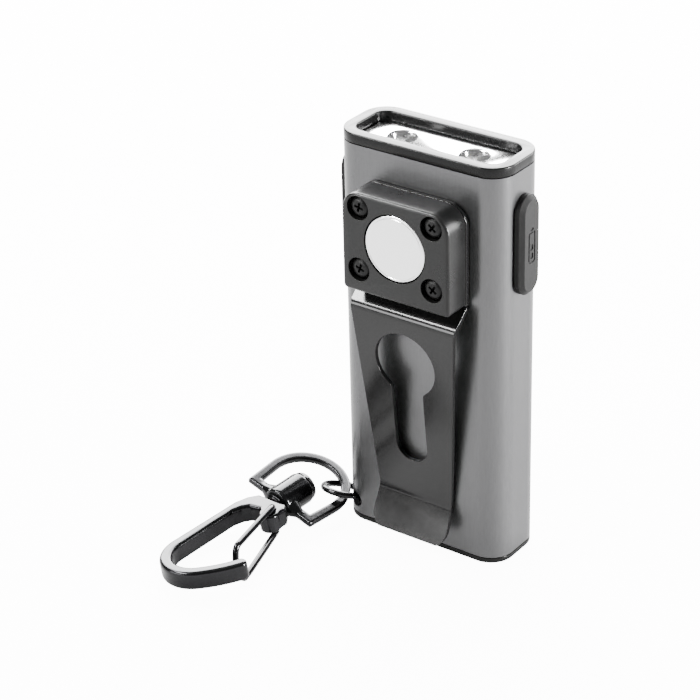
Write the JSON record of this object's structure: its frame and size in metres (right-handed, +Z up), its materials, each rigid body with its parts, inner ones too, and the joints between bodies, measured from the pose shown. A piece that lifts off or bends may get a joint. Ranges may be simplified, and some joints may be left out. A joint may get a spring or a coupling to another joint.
{
  "type": "keychain flashlight",
  "caption": "Slim flat two-LED pocket torch with a magnet block, a keyhole spring clip, a rubber charging flap and button, and a swivel snap hook on a D-ring.",
  "frame": {"origin": "middle of the bottom face, on the surface the torch stands on", "axes": "+Z up to the light head, -Y towards the magnet side, +X towards the charging flap"},
  "size_m": [0.0432, 0.0423, 0.0635],
  "materials": {
    "case": "satin gunmetal anodising",
    "black_plastic": "semi-gloss black",
    "reflector": "bright vacuum-plated",
    "board": "green solder mask",
    "white_board": "white metal-core board",
    "led": "yellow phosphor under a clear dome",
    "cell": "foil pouch",
    "grey_plastic": "moulded grey",
    "steel": "zinc plated",
    "rubber": "soft black rubber",
    "magnet_plating": "bright nickel plate",
    "clip": "satin black coated spring steel",
    "screw": "black oxide",
    "black_nickel": "glossy black nickel plate"
  },
  "bodies": {
    "case": {"case_shell": "case", "bottom_cap": "black_plastic", "top_bezel": "black_plastic", "reflector_plate": "reflector", "led_board": "white_board", "led_left": "led", "led_right": "led", "main_board": "board", "battery_cell": "cell", "inner_carrier": "grey_plastic", "nut_plate": "steel", "usb_socket": "steel", "tact_switch": "grey_plastic", "magnet_housing": "black_plastic", "block_screw_1": "screw", "block_screw_2": "screw", "block_screw_3": "screw", "block_screw_4": "screw", "magnet": "magnet_plating", "clip_plate": "clip"},
    "clip": {"clip_tongue": "clip"},
    "flap": {"usb_flap": "rubber"},
    "button": {"power_button": "rubber"},
    "ring": {"jump_ring": "black_nickel"},
    "d_ring": {"d_ring": "black_nickel"},
    "hook": {"snap_hook": "black_nickel", "swivel_pin": "black_nickel"},
    "gate": {"wire_gate": "black_nickel"}
  },
  "joints": [
    {"name": "clip_flex", "type": "hinge", "parent": "case", "child": "clip", "pos_m": [0, -0.00655, 0.042], "axis": [-1, 0, 0], "range_deg": [0, 6], "stiffness_Nm_per_rad": 2},
    {"name": "flap_hinge", "type": "hinge", "parent": "case", "child": "flap", "pos_m": [0.01415, 0, 0.0583], "axis": [0, -1, 0], "range_deg": [0, 85]},
    {"name": "button_press", "type": "slide", "parent": "case", "child": "button", "axis": [1, 0, 0], "range_m": [0, 0.0005], "stiffness_N_per_m": 800},
    {"name": "ring_swing", "type": "hinge", "parent": "case", "child": "ring", "pos_m": [-0.01268, -0.00319, 0.00257], "axis": [-0.4624, 0.8502, -0.2518], "range_deg": [-8, 12]},
    {"name": "d_ring_swing", "type": "hinge", "parent": "ring", "child": "d_ring", "pos_m": [-0.0144, -0.0042, 0.0034], "axis": [0, 1, 0], "range_deg": [-2, 50]},
    {"name": "hook_swivel", "type": "hinge", "parent": "d_ring", "child": "hook", "pos_m": [-0.0204, -0.0125, 0.00345], "axis": [0.1215, 0.9899, 0.0732], "continuous": true},
    {"name": "gate_open", "type": "hinge", "parent": "hook", "child": "gate", "pos_m": [-0.01854, -0.01696, 0.00335], "axis": [0.0954, 0.0618, -0.9935], "range_deg": [0, 28], "stiffness_Nm_per_rad": 0.02}
  ]
}
